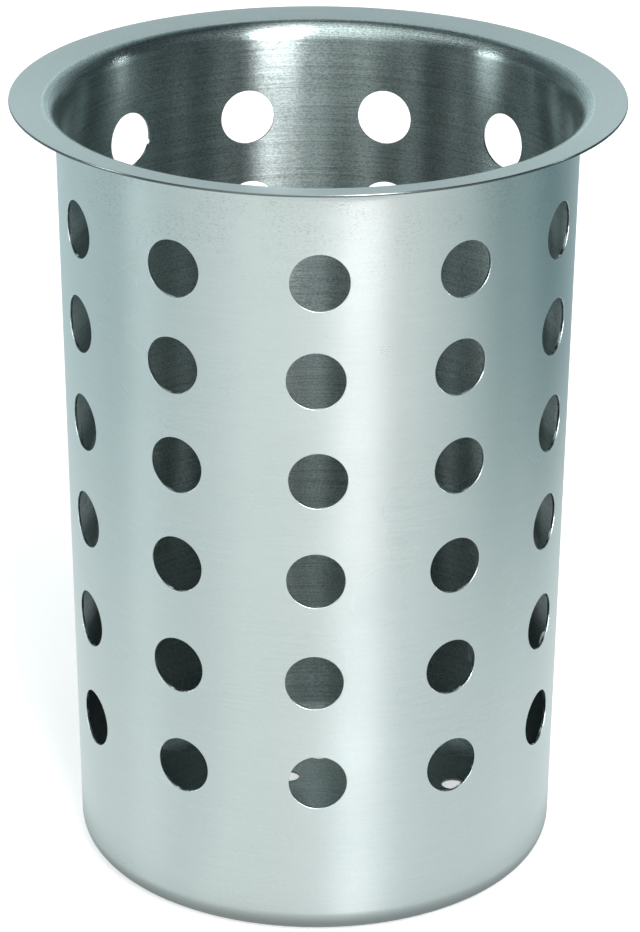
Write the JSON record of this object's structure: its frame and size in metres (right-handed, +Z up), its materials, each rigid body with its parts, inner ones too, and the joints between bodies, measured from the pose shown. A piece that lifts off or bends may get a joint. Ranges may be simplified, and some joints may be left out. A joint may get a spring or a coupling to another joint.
{
  "type": "cutlery holder",
  "caption": "Flanged, slightly tapered cylindrical cutlery holder drawn from perforated steel sheet, open at the top, with drain holes in its base.",
  "frame": {"origin": "centre of the flat underside, which rests on the surface it stands on", "axes": "+Z up along the cup's axis, towards its open mouth; -Y towards the picture's camera"},
  "size_m": [0.116, 0.116, 0.154],
  "materials": {
    "perforated_cup": "satin, with fine lines round the inside"
  },
  "bodies": {
    "root": {"perforated_cup": "perforated_cup"}
  },
  "joints": []
}
